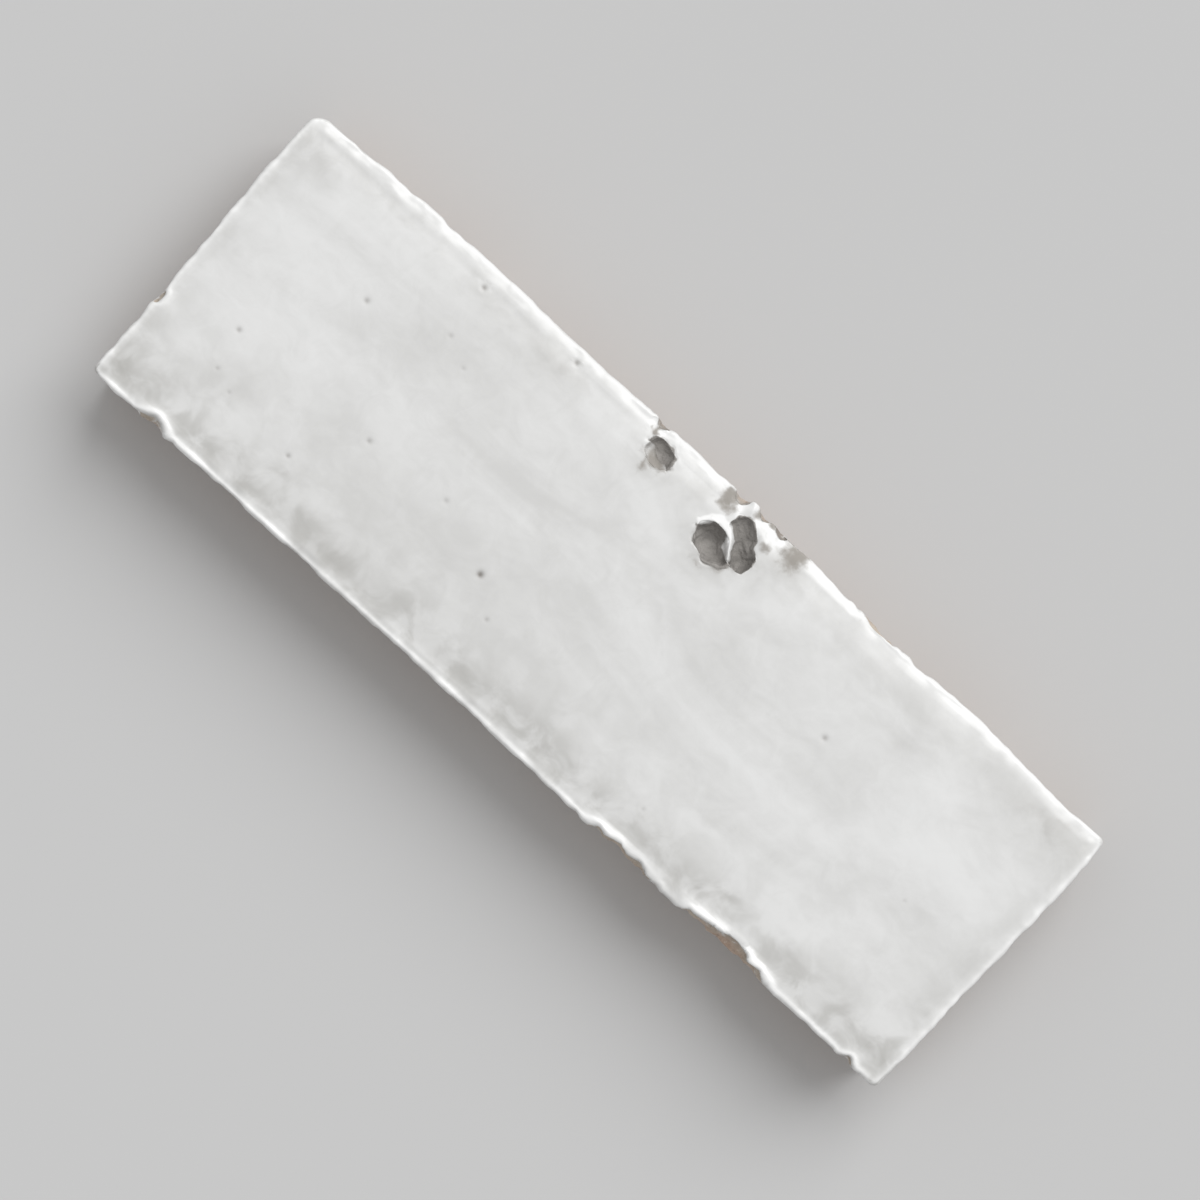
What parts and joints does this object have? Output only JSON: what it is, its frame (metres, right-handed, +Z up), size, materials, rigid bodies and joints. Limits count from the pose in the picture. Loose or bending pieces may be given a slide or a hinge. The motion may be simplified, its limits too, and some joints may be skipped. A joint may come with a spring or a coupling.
{
  "type": "bejmat tile",
  "caption": "Hand-cut oblong clay paving tile with wavy sides, a pillowed grey-white glazed face, a rolled rim, burst pits and chipped edges.",
  "frame": {"origin": "middle of the flat back, under the middle of the tile's outline", "axes": "+X along the length, +Y across the face towards the pitted long edge, +Z up out of the glazed face"},
  "size_m": [0.1514, 0.0495, 0.015],
  "materials": {
    "glazed_clay": "glossy cloudy grey-white glaze over pinkish-beige terracotta, bare on the lower sides and back"
  },
  "bodies": {
    "root": {"bejmat_tile": "glazed_clay"}
  },
  "joints": []
}
